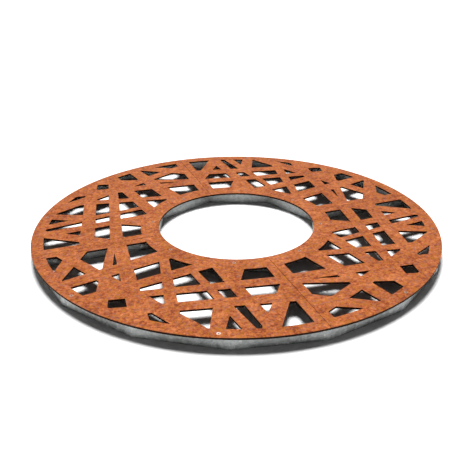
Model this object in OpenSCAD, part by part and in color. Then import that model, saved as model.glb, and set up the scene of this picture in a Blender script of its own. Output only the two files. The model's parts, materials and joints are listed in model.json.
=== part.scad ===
// Round tree grate in four equal quarters.
// Each quarter is a cut-out steel panel, screwed down on its own frame of flat bars set on edge.
// Neighbouring frames are bolted together through their end bars.
// The origin is on the ground in the centre of the trunk opening, and the seams lie on X and Y.

/* [Grate] */
// Outer diameter of the grate
grate_d = 1800; // [1500:10:2400]
// Diameter of the opening for the trunk
trunk_d = 700; // [400:10:900]
// Thickness of the panels
plate_t = 8; // [6:1:12]
// Gap between neighbouring panels
panel_gap = 1.5; // [1:0.5:6]

/* [Cut-out pattern] */
// Width of the solid border along the rim
rim_border = 52; // [48:1:90]
// Width of the solid border round the trunk opening
trunk_border = 81; // [60:1:120]
// Distance of the cut-outs from the middle of a seam
seam_border = 38; // [34:1:60]
// Usual width of the crossing bars
strip_w = 50; // [44:1:70]

/* [Frame] */
// Height of the frame bars
bar_h = 45; // [38:1:80]
// Thickness of the frame bars
bar_t = 8; // [5:1:12]
// Straight lengths of the rim bar in a quarter
rim_sides = 4; // [3:1:8]
// Straight lengths of the trunk bar in a quarter
trunk_sides = 2; // [1:1:4]
// How far the panels stand out past the corners of the rim bar
rim_overhang = 4; // [0:0.5:6]
// How far the panels stand out past the straights of the trunk bar
trunk_overhang = 2; // [0:0.5:8]
// Width of the bevel on the upright corners where two frames meet
edge_bevel = 1.5; // [0.5:0.5:3]

/* [Panel screws] */
// Thread diameter of the panel screws
screw_d = 8; // [6:1:10]
// Overall length of a panel screw
screw_l = 25; // [20:1:32]
// Head diameter of a panel screw
screw_head_d = 16; // [14:1:20]
// Width across the flats of the key socket in the head
screw_key = 5; // [3:0.5:6]
// Depth of the key socket
screw_key_depth = 3; // [2:0.5:3.5]
// Distance of the rim screws from the rim bar
rim_screw_gap = 6; // [6:1:14]
// Distance of the trunk-side screws from the trunk bar
trunk_screw_gap = 20; // [10:1:30]
// Angle of the rim screws from the nearest seam
rim_screw_angle = 25; // [10:1:35]
// Angle of the trunk-side screws from the nearest seam
trunk_screw_angle = 22.5; // [15:0.5:32]
// Play round the screws in the panel, as radius
screw_play = 0.5; // [0.2:0.1:1]

/* [Screw lugs] */
// Thickness of the lugs that take the screws
lug_t = 8; // [6:1:12]
// Width of a lug
lug_w = 34; // [26:1:40]

/* [Seam bolts] */
// Thread diameter of the seam bolts
bolt_d = 10; // [8:1:12]
// Distance of the seam bolts from the rim and from the trunk opening
bolt_inset = 90; // [60:5:140]
// Width across the flats of the bolt head and the nut
bolt_key = 16; // [15:1:19]
// Height of the bolt head
bolt_head_h = 6.4; // [5:0.1:8]
// Height of the nut
nut_h = 8.4; // [6:0.1:11]
// Diameter of the washers
washer_d = 20; // [20:1:24]
// Thickness of the washers
washer_t = 2; // [1:0.5:3]
// Play round the bolts in the end bars, as radius
bolt_play = 0.5; // [0.2:0.1:1]
// Length of thread that stands out of the nut
bolt_end = 3; // [1:0.5:8]

/* [Hidden] */
$fn = 180;
rim_r = grate_d / 2;
trunk_r = trunk_d / 2;

// The rim and trunk bars are bent into regular polygons with a corner on every seam.
// These radii run to the middles of the straights: both faces of each bar.
rim_corners = 4 * rim_sides;
trunk_corners = 4 * trunk_sides;
rim_bar_outer_r = (rim_r - rim_overhang) * cos(180 / rim_corners);
rim_bar_inner_r = rim_bar_outer_r - bar_t;
trunk_bar_inner_r = trunk_r + trunk_overhang;
trunk_bar_outer_r = trunk_bar_inner_r + bar_t;

// The panels lie on the bars
panel_z = bar_h;
grate_h = bar_h + plate_t;

// Play of a screw or bolt in its own thread, as radius
thread_play = 0.1;
// How far a drilled hole is cut past both faces
past = 1;

screw_rim_r = bar_face_r(rim_bar_inner_r, rim_corners, rim_screw_angle) - rim_screw_gap;
screw_trunk_r = bar_face_r(trunk_bar_outer_r, trunk_corners, trunk_screw_angle) + trunk_screw_gap;
bolt_rim_r = rim_r - bolt_inset;
bolt_trunk_r = trunk_r + bolt_inset;
bolt_z = bar_h / 2;
bolt_grip = bar_t + washer_t;

rust = "#c8683c";
zinc = "#8f9694";
stainless = "#b9bcbd";

// Quarters are numbered counter-clockwise, seen from above, from the one between +X and +Y
back_right = 0;
back_left = 1;
front_left = 2;
front_right = 3;

// Seams are numbered counter-clockwise from +X
right_seam = 0;
back_seam = 1;
left_seam = 2;
front_seam = 3;

// The pattern is made of straight bars that cross each other, the same in each quarter.
// A row holds both ends of a bar. Each end is the angle round the quarter, the share of the
// way from the trunk opening to the rim, and the width there as a multiple of strip_w.
pattern_bars = [
    [[51, 0, 0.96], [78.25, 1, 1.09]],
    [[45.25, 0.2, 0.6], [73.5, 1, 0.93]],
    [[90, 0.595, 1.28], [35.5, 1, 1.04]],
    [[90, 0.36, 1.12], [26.75, 1, 0.8]],
    [[62.5, 0, 1.27], [27.75, 1, 1.05]],
    [[28, 0, 1.71], [19, 1, 1.22]],
    [[90, 0.38, 1.09], [75.75, 1, 1.33]],
    [[65, 0.6, 1.44], [64.5, 1, 0.98]],
    [[70, 0, 1.5], [66.75, 0.325, 1.36]],
    [[0, 0.64, 1.53], [17.5, 1, 1]],
    [[0, 0.395, 0.56], [36.25, 1, 1.16]],
    [[0, 0.345, 1.12], [48, 1, 1.3]],
    [[0, 0.015, 0.7], [52.75, 0.805, 0.98]],
    [[0, 0.81, 1], [63, 1, 1.42]]
];

// Radius of a regular polygon at an angle, from the radius to the middles of its sides
function bar_face_r(r, corners, angle) =
    let (side = 360 / corners)
    r / cos(angle - (floor(angle / side) + 0.5) * side);

// Place of a bar's end, and half of its width there
function end_point(end) =
    let (r = trunk_r + (rim_r - trunk_r) * end[1])
    [r * cos(end[0]), r * sin(end[0])];
function half_width(end) = end[2] * strip_w / 2;

// Turns a module made for the quarter between +X and +Y into its place
module in_quarter(quarter) {
    rotate([0, 0, 90 * quarter])
        children();
}

// Everything in the quarter between +X and +Y that is further than the gap from both axes
module quarter_area(gap = 0) {
    translate([gap, gap])
        square(rim_r);
}

// Regular polygon, measured to the middles of its sides, with a corner on +X
module even_polygon(r, corners) {
    corner_r = r / cos(180 / corners);
    polygon([
        for (number = [0:corners - 1])
            corner_r * [cos(number * 360 / corners), sin(number * 360 / corners)]
    ]);
}

// Space between the rim bars and the trunk bars
module frame_inside() {
    difference() {
        even_polygon(rim_bar_inner_r, rim_corners);
        even_polygon(trunk_bar_outer_r, trunk_corners);
    }
}

module ring(outer_r, inner_r) {
    difference() {
        circle(r = outer_r);
        circle(r = inner_r);
    }
}

// One bar of the pattern, wider or narrower towards its far end
module pattern_bar(row) {
    start = end_point(row[0]);
    end = end_point(row[1]);
    way = (end - start) / norm(end - start);
    side = [-way[1], way[0]];
    polygon([
        start + side * half_width(row[0]),
        start - side * half_width(row[0]),
        end - side * half_width(row[1]),
        end + side * half_width(row[1])
    ]);
}

// What the cutter takes out of a panel: the area inside the borders, less the bars
module cut_outs() {
    difference() {
        intersection() {
            ring(rim_r - rim_border, trunk_r + trunk_border);
            quarter_area(seam_border);
        }
        for (row = pattern_bars)
            pattern_bar(row);
    }
}

// Places its children at the four screws of a quarter
module at_screws() {
    for (angle = [rim_screw_angle, 90 - rim_screw_angle])
        rotate([0, 0, angle])
            translate([screw_rim_r, 0, 0])
                children();
    for (angle = [trunk_screw_angle, 90 - trunk_screw_angle])
        rotate([0, 0, angle])
            translate([screw_trunk_r, 0, 0])
                children();
}

// Cone under a countersunk head, from the rim of the head down to the shank
module countersink(head_r, shank_r) {
    translate([0, 0, shank_r - head_r])
        cylinder(r1 = shank_r, r2 = head_r, h = head_r - shank_r);
}

module panel(quarter) {
    hole_r = screw_d / 2 + screw_play;
    color(rust)
        in_quarter(quarter)
            difference() {
                translate([0, 0, panel_z])
                    linear_extrude(plate_t)
                        difference() {
                            intersection() {
                                ring(rim_r, trunk_r);
                                quarter_area(panel_gap / 2);
                            }
                            cut_outs();
                        }
                at_screws() {
                    translate([0, 0, panel_z - past])
                        cylinder(r = hole_r, h = plate_t + 2 * past);
                    translate([0, 0, grate_h])
                        countersink(screw_head_d / 2, screw_d / 2);
                }
            }
}

// Flat bar on edge from seam to seam, bent into straight lengths.
// Its upright corners at the seams are bevelled.
module bent_bar(quarter, outer_r, inner_r, corners) {
    to_corner = 1 / cos(180 / corners);
    color(zinc)
        in_quarter(quarter)
            linear_extrude(bar_h)
                difference() {
                    intersection() {
                        difference() {
                            even_polygon(outer_r, corners);
                            even_polygon(inner_r, corners);
                        }
                        quarter_area();
                    }
                    for (r = [outer_r, inner_r])
                        for (corner = [[r * to_corner, 0], [0, r * to_corner]])
                            translate(corner)
                                rotate(45)
                                    square(edge_bevel * sqrt(2), center = true);
                }
}

module rim_bar(quarter) {
    bent_bar(quarter, rim_bar_outer_r, rim_bar_inner_r, rim_corners);
}

module trunk_bar(quarter) {
    bent_bar(quarter, trunk_bar_outer_r, trunk_bar_inner_r, trunk_corners);
}

// Straight bar along a seam, welded between the rim bar and the trunk bar.
// Side 1 is the bar counter-clockwise of the seam, side -1 the one clockwise of it.
module seam_bar(seam, side) {
    color(zinc)
        rotate([0, 0, 90 * seam])
            difference() {
                linear_extrude(bar_h)
                    intersection() {
                        frame_inside();
                        translate([0, side > 0 ? 0 : -bar_t])
                            square([rim_r, bar_t]);
                    }
                for (r = [bolt_trunk_r, bolt_rim_r])
                    translate([r, 0, bolt_z])
                        rotate([90, 0, 0])
                            cylinder(r = bolt_d / 2 + bolt_play, h = 2 * (bar_t + past), center = true);
            }
}

// Tongue under the panel, welded to the rim or trunk bar and tapped for the screw
module lug_plan(r, to_rim) {
    translate([r, 0])
        circle(d = lug_w);
    translate([to_rim ? r : 0, -lug_w / 2])
        square([to_rim ? rim_r : r, lug_w]);
}

module lug(angle, r, to_rim) {
    rotate([0, 0, angle])
        translate([0, 0, panel_z - lug_t])
            linear_extrude(lug_t)
                difference() {
                    intersection() {
                        lug_plan(r, to_rim);
                        rotate(-angle)
                            frame_inside();
                    }
                    translate([r, 0])
                        circle(r = screw_d / 2 + thread_play);
                }
}

module screw_lugs(quarter) {
    color(zinc)
        in_quarter(quarter) {
            for (angle = [rim_screw_angle, 90 - rim_screw_angle])
                lug(angle, screw_rim_r, true);
            for (angle = [trunk_screw_angle, 90 - trunk_screw_angle])
                lug(angle, screw_trunk_r, false);
        }
}

// Countersunk screw with a six-sided key socket, its head level with the panel
module screw() {
    difference() {
        union() {
            countersink(screw_head_d / 2, screw_d / 2);
            translate([0, 0, -screw_l])
                cylinder(d = screw_d, h = screw_l - (screw_head_d - screw_d) / 2);
        }
        translate([0, 0, -screw_key_depth])
            cylinder(d = screw_key / cos(30), h = screw_key_depth + past, $fn = 6);
    }
}

module screws(quarter) {
    color(stainless)
        in_quarter(quarter)
            at_screws()
                translate([0, 0, grate_h])
                    screw();
}

// Turns its children so that their +Z runs through the seam, counter-clockwise
module at_seam_bolts(seam) {
    rotate([0, 0, 90 * seam])
        for (r = [bolt_trunk_r, bolt_rim_r])
            translate([r, 0, bolt_z])
                rotate([-90, 0, 0])
                    children();
}

module six_sides(height) {
    cylinder(d = bolt_key / cos(30), h = height, $fn = 6);
}

module seam_bolts(seam) {
    color(stainless)
        at_seam_bolts(seam) {
            translate([0, 0, -bolt_grip - bolt_head_h])
                six_sides(bolt_head_h);
            translate([0, 0, -bolt_grip])
                cylinder(d = bolt_d, h = 2 * bolt_grip + nut_h + bolt_end);
        }
}

module seam_washers(seam) {
    color(stainless)
        at_seam_bolts(seam)
            for (z = [-bolt_grip, bar_t])
                translate([0, 0, z])
                    linear_extrude(washer_t)
                        ring(washer_d / 2, bolt_d / 2 + bolt_play);
}

module seam_nuts(seam) {
    color(stainless)
        at_seam_bolts(seam)
            translate([0, 0, bolt_grip])
                difference() {
                    six_sides(nut_h);
                    translate([0, 0, -past])
                        cylinder(r = bolt_d / 2 + thread_play, h = nut_h + 2 * past);
                }
}

panel(front_left);  // panel_front_left
panel(front_right);  // panel_front_right
panel(back_right);  // panel_back_right
panel(back_left);  // panel_back_left
rim_bar(front_left);  // rim_bar_front_left
rim_bar(front_right);  // rim_bar_front_right
rim_bar(back_right);  // rim_bar_back_right
rim_bar(back_left);  // rim_bar_back_left
trunk_bar(front_left);  // trunk_bar_front_left
trunk_bar(front_right);  // trunk_bar_front_right
trunk_bar(back_right);  // trunk_bar_back_right
trunk_bar(back_left);  // trunk_bar_back_left
seam_bar(front_seam, -1);  // front_seam_bar_left
seam_bar(front_seam, 1);  // front_seam_bar_right
seam_bar(right_seam, -1);  // right_seam_bar_front
seam_bar(right_seam, 1);  // right_seam_bar_back
seam_bar(back_seam, -1);  // back_seam_bar_right
seam_bar(back_seam, 1);  // back_seam_bar_left
seam_bar(left_seam, -1);  // left_seam_bar_back
seam_bar(left_seam, 1);  // left_seam_bar_front
screw_lugs(front_left);  // screw_lugs_front_left
screw_lugs(front_right);  // screw_lugs_front_right
screw_lugs(back_right);  // screw_lugs_back_right
screw_lugs(back_left);  // screw_lugs_back_left
screws(front_left);  // screws_front_left
screws(front_right);  // screws_front_right
screws(back_right);  // screws_back_right
screws(back_left);  // screws_back_left
seam_bolts(front_seam);  // front_seam_bolts
seam_bolts(right_seam);  // right_seam_bolts
seam_bolts(back_seam);  // back_seam_bolts
seam_bolts(left_seam);  // left_seam_bolts
seam_washers(front_seam);  // front_seam_washers
seam_washers(right_seam);  // right_seam_washers
seam_washers(back_seam);  // back_seam_washers
seam_washers(left_seam);  // left_seam_washers
seam_nuts(front_seam);  // front_seam_nuts
seam_nuts(right_seam);  // right_seam_nuts
seam_nuts(back_seam);  // back_seam_nuts
seam_nuts(left_seam);  // left_seam_nuts
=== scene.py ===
import json
import math
import random

import bmesh
import bpy
from mathutils import Matrix, Vector


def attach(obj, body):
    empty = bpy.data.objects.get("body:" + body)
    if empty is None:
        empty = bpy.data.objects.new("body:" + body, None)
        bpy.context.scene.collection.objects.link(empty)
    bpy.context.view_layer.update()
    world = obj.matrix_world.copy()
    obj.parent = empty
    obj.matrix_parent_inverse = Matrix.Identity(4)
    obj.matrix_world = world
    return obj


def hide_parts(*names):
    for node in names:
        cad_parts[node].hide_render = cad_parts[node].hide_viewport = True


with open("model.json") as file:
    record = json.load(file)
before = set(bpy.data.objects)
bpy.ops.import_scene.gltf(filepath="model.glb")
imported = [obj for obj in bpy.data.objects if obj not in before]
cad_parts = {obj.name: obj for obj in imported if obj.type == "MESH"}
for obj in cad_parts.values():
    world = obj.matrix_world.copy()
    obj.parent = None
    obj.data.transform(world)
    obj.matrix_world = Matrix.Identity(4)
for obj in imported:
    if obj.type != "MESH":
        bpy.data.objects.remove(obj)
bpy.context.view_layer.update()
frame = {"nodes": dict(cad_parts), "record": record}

# Looks of a round tree grate: four rust-skinned steel panels with a lattice of crossing bars,
# screwed down on galvanised frames. Metres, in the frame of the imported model.

# Angles of the quarters' first seams and of the seams, turning from +X to +Y
QUARTERS = {"back_right": 0, "back_left": 90, "front_left": 180, "front_right": 270}
SEAMS = {"right": 0, "back": 90, "left": 180, "front": 270}


# ---------------------------------------------------------------- shader maths

class Value:
    """A number in a shader. Python's operators on it add Math nodes."""

    def __init__(self, recipe, socket):
        self.recipe = recipe
        self.socket = socket

    def maths(self, operation, *numbers):
        inputs = dict(enumerate(numbers))
        return self.recipe.add("ShaderNodeMath", {"operation": operation}, inputs)

    def __add__(self, other):
        return self.maths("ADD", self, other)

    def __radd__(self, other):
        return self.maths("ADD", other, self)

    def __sub__(self, other):
        return self.maths("SUBTRACT", self, other)

    def __rsub__(self, other):
        return self.maths("SUBTRACT", other, self)

    def __mul__(self, other):
        return self.maths("MULTIPLY", self, other)

    def __rmul__(self, other):
        return self.maths("MULTIPLY", other, self)

    def __gt__(self, other):
        return self.maths("GREATER_THAN", self, other)

    def __lt__(self, other):
        return self.maths("LESS_THAN", self, other)

    def __abs__(self):
        return self.maths("ABSOLUTE", self)

    def limited(self, low=0.0, high=1.0):
        return self.maths("MINIMUM", self.maths("MAXIMUM", self, low), high)


class Recipe:
    """One material, made node by node."""

    def __init__(self, name):
        self.material = bpy.data.materials.new(name)
        self.material.use_nodes = True
        self.tree = self.material.node_tree
        self.shader = self.tree.nodes["Principled BSDF"]
        self.place = self.add("ShaderNodeTexCoord", output="Object")

    def add(self, kind, settings=None, inputs=None, output=0):
        """Adds a node: first its settings, then the values or links of its sockets."""
        node = self.tree.nodes.new(kind)
        for name, setting in (settings or {}).items():
            if name == "stops":
                self.set_stops(node.color_ramp, setting)
            else:
                setattr(node, name, setting)
        for name, value in (inputs or {}).items():
            self.set_input(node.inputs[name], value)
        return Value(self, node.outputs[output])

    def set_stops(self, ramp, stops):
        while len(ramp.elements) < len(stops):
            ramp.elements.new(0.5)
        for element, (position, colour) in zip(ramp.elements, stops):
            element.position = position
            element.color = (*colour, 1)

    def set_input(self, socket, value):
        if isinstance(value, Value):
            self.tree.links.new(value.socket, socket)
        elif socket.type == "RGBA":
            socket.default_value = (*value, 1)
        else:
            socket.default_value = value

    def surface(self, **values):
        """Sets sockets of the surface shader, spaces written as underscores."""
        for name, value in values.items():
            self.set_input(self.shader.inputs[name.replace("_", " ")], value)

    def stretched(self, scale):
        """Object coordinates, multiplied along each axis."""
        return self.add("ShaderNodeVectorMath", {"operation": "MULTIPLY"}, {0: self.place, 1: scale})

    def noise(self, scale, detail=3, roughness=0.5, distortion=0, place=None):
        inputs = {
            "Vector": place or self.place, "Scale": scale, "Detail": detail,
            "Roughness": roughness, "Distortion": distortion,
        }
        return self.add("ShaderNodeTexNoise", None, inputs)

    def cells(self, scale, output="Color"):
        return self.add("ShaderNodeTexVoronoi", None, {"Vector": self.place, "Scale": scale}, output)

    def ramp(self, value, *stops):
        return self.add("ShaderNodeValToRGB", {"stops": stops}, {"Fac": value})

    def mixed(self, share, first, second):
        """A colour between two others, at a share that is a number or a pattern."""
        inputs = {0: share, 6: first, 7: second}
        return self.add("ShaderNodeMix", {"data_type": "RGBA"}, inputs, output=2)

    def red_of(self, colour):
        return self.add("ShaderNodeSeparateColor", None, {0: colour}, output="Red")

    def height_of(self, vector):
        return self.add("ShaderNodeSeparateXYZ", None, {0: vector}, output="Z")

    def distance(self, start, end):
        settings = {"operation": "DISTANCE"}
        return self.add("ShaderNodeVectorMath", settings, {0: start, 1: end}, output="Value")

    def facing_up(self):
        """Height of the surface's normal: 1 on top, 0 on upright faces, -1 below."""
        return self.height_of(self.add("ShaderNodeNewGeometry", output="True Normal"))

    def bumped(self, *layers):
        """A normal from (height pattern, depth in metres) layers, the coarsest first."""
        normal = None
        for height, depth in layers:
            inputs = {"Height": height, "Distance": depth, "Strength": 1.0}
            if normal:
                inputs["Normal"] = normal
            normal = self.add("ShaderNodeBump", None, inputs)
        return normal


# ---------------------------------------------------------------- sizes, as the solids have them

GRATE_H = 0.053
BAR_H = 0.045
BAR_T = 0.008

# Inside faces of the frame: corners of the whole polygon, radius to the middles of its sides
RIM_FACE = (16, 0.896 * math.cos(math.radians(11.25)) - BAR_T)
TRUNK_FACE = (8, 0.352 + BAR_T)

SCREW_R = 0.004
SCREW_L = 0.025
SCREW_HEAD_R = 0.008
SCREW_KEY = 0.005
SCREW_KEY_DEPTH = 0.003
SCREW_PITCH = 0.00125
SCREW_SHANK = 0.014
SCREW_CHAMFER = 0.0009
RIM_SCREW_ANGLE = 25
TRUNK_SCREW_ANGLE = 22.5
RIM_SCREW_GAP = 0.006
TRUNK_SCREW_GAP = 0.020

LUG_T = 0.008
LUG_W = 0.034

BOLT_PLACES = (0.440, 0.810)
BOLT_R = 0.005
BOLT_PITCH = 0.0015
BOLT_KEY = 0.016
BOLT_FACE_R = 0.00752
BOLT_TOP_R = 0.00736
BOLT_GRIP = 0.010
BOLT_HEAD_H = 0.0064
NUT_H = 0.0084
BOLT_END = 0.003
BOLT_CHAMFER = 0.0011
# Fall of the chamfered corners on a bolt head or nut
KEY_SLOPE = 0.55

WELD_R = 0.0042
WELD_RIPPLE = 0.0026
# Bare length of a corner above and below its weld
WELD_INSET = 0.003

# Depth of a thread, as a share of its pitch
THREAD_DEPTH = 0.55
# Width of a small bevel
TINY = 0.0003


# ---------------------------------------------------------------- finishes

RUST_DUST = (0.215, 0.082, 0.034)
NEW_SCREW = (-0.3698, -0.7930, GRATE_H)

# Least upward part of the normal on a face that counts as flat
FLAT = 0.6


def rust_skin():
    """Weathering steel: a fine, mottled rust skin, dark underneath, and dark scale on the cut edges,
    made darker still as painted shade.
    """
    steel = Recipe("weathered_steel")
    up = steel.facing_up()
    specks = steel.noise(88, detail=2, roughness=0.5)
    grain = steel.noise(200, detail=3, roughness=0.6)
    patches = steel.noise(34, detail=2, roughness=0.5)
    blotches = steel.noise(9, detail=4, roughness=0.6)
    tone = 0.5 + (specks - 0.5) * 2.2 + (grain - 0.5) * 1.5
    tone = tone + (patches - 0.5) * 1.2 + (blotches - 0.5) * 1.3
    skin = steel.ramp(
        tone,
        (0.00, (0.145, 0.026, 0.006)),
        (0.50, (0.287, 0.068, 0.016)),
        (1.00, (0.440, 0.142, 0.050)),
    )
    dull = ((steel.noise(85, detail=3) - 0.5) * 5.0).limited(0, 0.8)
    skin = steel.mixed(dull, skin, (0.222, 0.082, 0.054))
    golden = ((steel.noise(60, detail=3, distortion=1) - 0.5) * 5.5).limited(0, 0.8)
    skin = steel.mixed(golden, skin, (0.295, 0.096, 0.008))
    streaks = steel.noise(1.0, detail=3, place=steel.stretched((420, 420, 40)))
    # Upright cut edges: partly their dark scale, partly painted shade for faces turned away from the
    # key light.
    scale = steel.ramp(streaks, (0.3, (0.010, 0.004, 0.002)), (0.7, (0.034, 0.013, 0.006)))
    cut = abs(up) < FLAT
    below = up < -FLAT
    underside = steel.ramp(tone, (0.2, (0.024, 0.013, 0.009)), (0.8, (0.066, 0.038, 0.027)))
    colour = steel.mixed(below, skin, underside)
    steel.surface(
        Base_Color=steel.mixed(cut, colour, scale),
        Roughness=(0.72 + specks * 0.25).limited(),
        Specular_IOR_Level=0.12,
        Normal=steel.bumped((specks, 0.0008), (grain, 0.0004)),
    )
    return steel.material


def galvanised():
    """Hot-dip zinc: clouded, in flat spangles of differing grey, with small bright runs.

    The zinc round the trunk is darkened as painted shade, for the weaker light there.
    """
    zinc = Recipe("galvanised_steel")
    spangle = zinc.red_of(zinc.cells(60))
    flakes = zinc.red_of(zinc.cells(170))
    cloud = zinc.noise(14, detail=4, roughness=0.6)
    beads = (0.16 - zinc.cells(28, output="Distance")).limited(0, 0.05) * 20.0
    tone = spangle * 0.35 + flakes * 0.2 + cloud * 0.45
    skin = zinc.ramp(
        tone,
        (0.25, (0.33, 0.35, 0.34)),
        (0.50, (0.47, 0.49, 0.48)),
        (0.75, (0.62, 0.64, 0.62)),
    )
    skin = zinc.mixed(beads * 0.6, skin, (0.80, 0.80, 0.77))
    # Painted shade: near the trunk bars the zinc is mixed towards near black, for the dim light
    # round the trunk opening.
    past_trunk_bars = zinc.distance(zinc.stretched((1, 1, 0)), (0, 0, 0)) - TRUNK_FACE[1] - 0.020
    painted_trunk_shade = (1.0 - past_trunk_bars * 12.0).limited() * 0.27
    zinc.surface(
        Base_Color=zinc.mixed(painted_trunk_shade, skin, (0.060, 0.066, 0.062)),
        Metallic=0.55,
        Roughness=(0.42 + spangle * 0.12 + cloud * 0.15).limited(),
        Normal=zinc.bumped((zinc.noise(45, detail=3), 0.0012), (flakes, 0.0002), (beads, 0.0006)),
    )
    return zinc.material


def stainless():
    """Screws and bolts, finely brushed. Rust dust lies on what faces up and fills the sockets.

    One screw is new, with little dust.
    """
    bright = Recipe("stainless_steel")
    brushed = bright.noise(1.0, detail=3, place=bright.stretched((900, 900, 150)))
    metal = bright.ramp(brushed, (0.2, (0.42, 0.42, 0.41)), (0.8, (0.62, 0.62, 0.60)))
    facing_up = bright.facing_up() > FLAT
    in_head = bright.height_of(bright.place) > GRATE_H - SCREW_KEY_DEPTH - TINY
    is_old = bright.distance(bright.place, NEW_SCREW) > 2 * SCREW_HEAD_R
    cover = 0.92 + (bright.noise(160, detail=2) - 0.5) * 0.6
    dust = (facing_up + in_head).limited() * cover.limited(0, 0.98) * (0.70 + is_old).limited()
    bright.surface(
        Base_Color=bright.mixed(dust, metal, RUST_DUST),
        Metallic=(1.0 - dust * 0.8).limited(),
        Roughness=(0.33 + brushed * 0.10).limited(),
        Normal=bright.bumped((brushed, 0.00005)),
    )
    return bright.material


def plain(name, colour, roughness):
    finish = Recipe(name)
    finish.surface(Base_Color=colour, Roughness=roughness, Specular_IOR_Level=0.0)
    return finish.material


FINISHES = {
    "weathered_steel": rust_skin(),
    "galvanised_steel": galvanised(),
    "stainless_steel": stainless(),
}

for part in frame["record"]["subparts"]:
    node = frame["nodes"][part["node"]]
    node.data.materials.clear()
    node.data.materials.append(FINISHES[part["material_slot"]])


# ---------------------------------------------------------------- turned and threaded shapes

def level(radius, height):
    """Round outline at a height."""
    return lambda angle: (radius, height)


def six_sided(across, height, slope=0.0):
    """Six-sided outline, across its flats. Its corners lie lower, by the slope."""
    def outline(angle):
        from_flat = angle % math.radians(60) - math.radians(30)
        radius = across / 2 / math.cos(from_flat)
        return radius, height - (radius - across / 2) * slope
    return outline


def stacked(form, outlines, capped=True, sides=48):
    """A shape from outlines joined in turn. Without caps the last one meets the first."""
    ring = bmesh.ops.create_circle(form, cap_ends=capped, segments=sides, radius=1)["verts"]
    made = list(ring)
    for number, outline in enumerate(outlines):
        if number:
            grown = bmesh.ops.extrude_edge_only(form, edges=edges_within(form, ring))["geom"]
            ring = [item for item in grown if isinstance(item, bmesh.types.BMVert)]
            made += ring
        for vert in ring:
            angle = math.atan2(vert.co.y, vert.co.x)
            radius, height = outline(angle)
            vert.co = (radius * math.cos(angle), radius * math.sin(angle), height)
    if capped:
        bmesh.ops.contextual_create(form, geom=edges_within(form, ring))
    return made


def edges_within(form, verts):
    chosen = set(verts)
    return [edge for edge in form.edges if chosen.issuperset(edge.verts)]


def threaded(form, radius, pitch, length, chamfer, steps=32):
    """Rod along Z from 0 up to its length, with a V thread. Its lower end is chamfered."""
    others = set(form.verts)
    depth = THREAD_DEPTH * pitch
    line = []
    for winding in range(-2, math.ceil(length / pitch) + 1):
        line.append(form.verts.new((radius, 0, winding * pitch)))
        line.append(form.verts.new((radius - depth, 0, (winding + 0.5) * pitch)))
    edges = [form.edges.new(pair) for pair in zip(line, line[1:])]
    bmesh.ops.spin(
        form, geom=line + edges, cent=(0, 0, 0), axis=(0, 0, 1), dvec=(0, 0, pitch / steps),
        angle=2 * math.pi, steps=steps, use_merge=False, use_duplicate=False,
    )
    rod = [vert for vert in form.verts if vert not in others]
    bmesh.ops.remove_doubles(form, verts=rod, dist=1e-6)
    for height, outward in ((0, -1), (length, 1)):
        rod = {vert for vert in form.verts if vert not in others}
        parts = [vert for vert in form.verts if vert in rod]
        parts += [edge for edge in form.edges if rod.issuperset(edge.verts)]
        parts += [face for face in form.faces if rod.issuperset(face.verts)]
        cut = bmesh.ops.bisect_plane(
            form, geom=parts, plane_co=(0, 0, height), plane_no=(0, 0, outward), clear_outer=True,
        )["geom_cut"]
        rim = [item for item in cut if isinstance(item, bmesh.types.BMEdge)]
        bmesh.ops.contextual_create(form, geom=rim)
    rod = [vert for vert in form.verts if vert not in others]
    for vert in rod:
        out = vert.co.xy.length
        reach = radius - chamfer + vert.co.z
        if out > reach:
            vert.co.xy *= reach / out
    return rod


def weld_bead(form, start, end, hand):
    """Rippled bead along a corner. Only a quarter of it stands out of the bars."""
    way = end - start
    count = round(way.length / WELD_RIPPLE * 4)
    outlines = []
    for number in range(count + 1):
        share = number / count
        rounded = math.sqrt(max(0.08, 1 - abs(2 * share - 1) ** 12))
        ripple = 0.94 + 0.06 * math.sin(math.pi / 2 * number + 0.7) + hand.uniform(-0.02, 0.02)
        outlines.append(level(WELD_R * rounded * ripple, share * way.length))
    bead = stacked(form, outlines, sides=16)
    place = Matrix.Translation(start) @ way.to_track_quat("Z", "Y").to_matrix().to_4x4()
    bmesh.ops.transform(form, matrix=place, verts=bead)


def finished(form, name, slot, node=None):
    """Makes the shape a piece of the grate, in place of a node where one is named."""
    bmesh.ops.recalc_face_normals(form, faces=form.faces)
    mesh = bpy.data.meshes.new(name)
    form.to_mesh(mesh)
    form.free()
    mesh.shade_smooth()
    mesh.set_sharp_from_angle(angle=math.radians(28))
    mesh.materials.append(FINISHES[slot])
    piece = bpy.data.objects.new(name, mesh)
    bpy.context.scene.collection.objects.link(piece)
    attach(piece, "root")
    if node:
        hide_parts(node)


def turn(degrees, axis="Z"):
    return Matrix.Rotation(math.radians(degrees), 4, axis)


# ---------------------------------------------------------------- screws, bolts, nuts and welds

def side_middle(face, angle):
    """Angle to the middle of the polygon's side that lies at an angle."""
    width = 360 / face[0]
    return (angle // width + 0.5) * width


def face_radius(face, angle):
    return face[1] / math.cos(math.radians(angle - side_middle(face, angle)))


RIM_SCREW_R = face_radius(RIM_FACE, RIM_SCREW_ANGLE) - RIM_SCREW_GAP
TRUNK_SCREW_R = face_radius(TRUNK_FACE, TRUNK_SCREW_ANGLE) + TRUNK_SCREW_GAP
SCREW_PLACES = (
    (RIM_SCREW_ANGLE, RIM_SCREW_R), (90 - RIM_SCREW_ANGLE, RIM_SCREW_R),
    (TRUNK_SCREW_ANGLE, TRUNK_SCREW_R), (90 - TRUNK_SCREW_ANGLE, TRUNK_SCREW_R),
)


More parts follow.
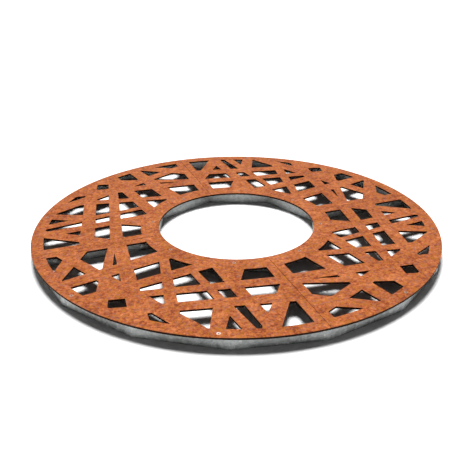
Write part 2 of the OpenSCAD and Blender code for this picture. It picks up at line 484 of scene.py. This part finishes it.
def panel_screw(form, place, key_turn):
    """Countersunk screw with a six-sided key socket, its head at height 0."""
    screw = stacked(form, [
        level(SCREW_R, -SCREW_SHANK),
        level(SCREW_R, SCREW_R - SCREW_HEAD_R),
        level(SCREW_HEAD_R - TINY, -TINY),
        level(SCREW_HEAD_R - TINY * 1.3, 0),
        six_sided(SCREW_KEY + 2 * TINY, 0),
        six_sided(SCREW_KEY, -TINY),
        six_sided(SCREW_KEY, -SCREW_KEY_DEPTH),
        level(TINY, -SCREW_KEY_DEPTH - 2 * TINY),
    ])
    bmesh.ops.transform(form, matrix=turn(key_turn), verts=screw)
    length = SCREW_L - SCREW_SHANK
    thread = threaded(form, SCREW_R - TINY / 5, SCREW_PITCH, length, chamfer=SCREW_CHAMFER)
    bmesh.ops.transform(form, matrix=Matrix.Translation((0, 0, -SCREW_L)), verts=thread)
    bmesh.ops.transform(form, matrix=place, verts=screw + thread)


def seam_bolt(form, place):
    """Six-sided head below, threaded end above, the seam in the middle."""
    under_head = -BOLT_GRIP
    head_top = under_head - BOLT_HEAD_H
    head = stacked(form, [
        level(BOLT_FACE_R, under_head),
        level(BOLT_FACE_R, under_head - TINY),
        six_sided(BOLT_KEY, under_head - TINY),
        six_sided(BOLT_KEY, head_top, slope=-KEY_SLOPE),
        level(BOLT_TOP_R, head_top),
    ])
    shank = stacked(form, [level(BOLT_R, under_head), level(BOLT_R, BOLT_GRIP)])
    length = NUT_H + BOLT_END
    thread = threaded(form, BOLT_R - TINY / 5, BOLT_PITCH, length, chamfer=BOLT_CHAMFER)
    lift = Matrix.Translation((0, 0, BOLT_GRIP + length)) @ turn(180, "X")
    bmesh.ops.transform(form, matrix=lift, verts=thread)
    bmesh.ops.transform(form, matrix=place, verts=head + shank + thread)


def seam_nut(form, place):
    """Six-sided nut, chamfered on both sides."""
    hole = BOLT_R + TINY / 3
    low = BOLT_GRIP
    high = BOLT_GRIP + NUT_H
    nut = stacked(form, [
        level(hole, low + 2 * TINY),
        level(hole + 2 * TINY, low),
        level(BOLT_FACE_R, low),
        six_sided(BOLT_KEY, low, slope=-KEY_SLOPE),
        six_sided(BOLT_KEY, high, slope=KEY_SLOPE),
        level(BOLT_FACE_R, high),
        level(hole + 2 * TINY, high),
        level(hole, high - 2 * TINY),
        level(hole, low + 2 * TINY),
    ], capped=False)
    bmesh.ops.remove_doubles(form, verts=nut, dist=1e-6)
    nut = [vert for vert in nut if vert.is_valid]
    bmesh.ops.transform(form, matrix=place, verts=nut)


def frame_welds(form, hand, place):
    """Beads that hold the lugs and the seam bars of a quarter on its rim and trunk bars."""
    corners = []
    for angle, radius in SCREW_PLACES:
        face = RIM_FACE if radius == RIM_SCREW_R else TRUNK_FACE
        middle = math.radians(side_middle(face, angle))
        at = math.radians(angle)
        centre = Vector((math.cos(at), math.sin(at), 0)) * face_radius(face, angle)
        centre.z = BAR_H - LUG_T
        along = Vector((-math.sin(middle), math.cos(middle), 0)) * (LUG_W / 2)
        corners.append((centre - along, centre + along))
    for face in (RIM_FACE, TRUNK_FACE):
        middle = math.radians(180 / face[0])
        far = (face[1] - BAR_T * math.sin(middle)) / math.cos(middle)
        for x, y in ((far, BAR_T), (BAR_T, far)):
            corners.append((Vector((x, y, WELD_INSET)), Vector((x, y, BAR_H - WELD_INSET))))
    for start, end in corners:
        weld_bead(form, place @ start, place @ end, hand)


hand = random.Random(11)

for quarter, first_seam in QUARTERS.items():
    form = bmesh.new()
    for angle, radius in SCREW_PLACES:
        place = turn(first_seam + angle) @ Matrix.Translation((radius, 0, GRATE_H))
        panel_screw(form, place, hand.uniform(0, 60))
    finished(form, "panel_screws_" + quarter, "stainless_steel", "screws_" + quarter)

    form = bmesh.new()
    frame_welds(form, hand, turn(first_seam))
    finished(form, "frame_welds_" + quarter, "galvanised_steel")

for seam, angle in SEAMS.items():
    bolts = bmesh.new()
    nuts = bmesh.new()
    for radius in BOLT_PLACES:
        place = turn(angle) @ Matrix.Translation((radius, 0, BAR_H / 2)) @ turn(-90, "X")
        seam_bolt(bolts, place)
        seam_nut(nuts, place)
    finished(bolts, seam + "_hex_bolts", "stainless_steel", seam + "_seam_bolts")
    finished(nuts, seam + "_hex_nuts", "stainless_steel", seam + "_seam_nuts")


# ---------------------------------------------------------------- floor, light and camera

def direction(azimuth, elevation):
    """Unit vector from the grate towards azimuth (0 is -Y, turning to +X) and elevation, degrees."""
    a = math.radians(azimuth)
    e = math.radians(elevation)
    return Vector((math.sin(a) * math.cos(e), -math.cos(a) * math.cos(e), math.sin(e)))


def studio_floor(half_width=40):
    form = bmesh.new()
    bmesh.ops.create_grid(form, x_segments=1, y_segments=1, size=half_width)
    mesh = bpy.data.meshes.new("studio_floor")
    form.to_mesh(mesh)
    form.free()
    floor = bpy.data.objects.new("studio_floor", mesh)
    bpy.context.scene.collection.objects.link(floor)
    floor.data.materials.append(plain("studio_floor", (0.88, 0.88, 0.88), 0.9))


def soft_key_light(azimuth, elevation, strength, half_angle):
    lamp = bpy.data.lights.new("key_light", "SUN")
    lamp.energy = strength
    lamp.angle = math.radians(2 * half_angle)
    light = bpy.data.objects.new("key_light", lamp)
    light.rotation_euler = direction(azimuth, elevation).to_track_quat("Z", "Y").to_euler()
    bpy.context.scene.collection.objects.link(light)


def studio_air(light, backdrop):
    """Weak even light from all round. The camera sees a white backdrop in its place."""
    world = bpy.data.worlds.new("studio_air")
    world.use_nodes = True
    tree = world.node_tree
    tree.nodes.clear()
    to_camera = tree.nodes.new("ShaderNodeLightPath")
    lit = tree.nodes.new("ShaderNodeBackground")
    lit.inputs["Color"].default_value = (*light, 1)
    seen = tree.nodes.new("ShaderNodeBackground")
    seen.inputs["Color"].default_value = (*backdrop, 1)
    either = tree.nodes.new("ShaderNodeMixShader")
    output = tree.nodes.new("ShaderNodeOutputWorld")
    tree.links.new(to_camera.outputs["Is Camera Ray"], either.inputs[0])
    tree.links.new(lit.outputs[0], either.inputs[1])
    tree.links.new(seen.outputs[0], either.inputs[2])
    tree.links.new(either.outputs[0], output.inputs[0])
    bpy.context.scene.world = world


def camera(target, azimuth, elevation, distance, lens, shift):
    data = bpy.data.cameras.new("camera")
    data.lens = lens
    data.shift_y = shift
    data.sensor_width = 36
    data.clip_end = 200
    eye = bpy.data.objects.new("camera", data)
    eye.location = Vector(target) + direction(azimuth, elevation) * distance
    eye.rotation_euler = direction(azimuth, elevation).to_track_quat("Z", "Y").to_euler()
    bpy.context.scene.collection.objects.link(eye)
    bpy.context.scene.camera = eye


studio_floor()
soft_key_light(azimuth=162, elevation=60, strength=6.8, half_angle=14)
studio_air(light=(0.06, 0.06, 0.062), backdrop=(1.05, 1.05, 1.05))
camera(
    (-0.053, -0.1443, GRATE_H),
    azimuth=-21.14, elevation=26.445, distance=2.8434, lens=49.85, shift=0.0017,
)
bpy.context.scene.view_settings.view_transform = "Standard"
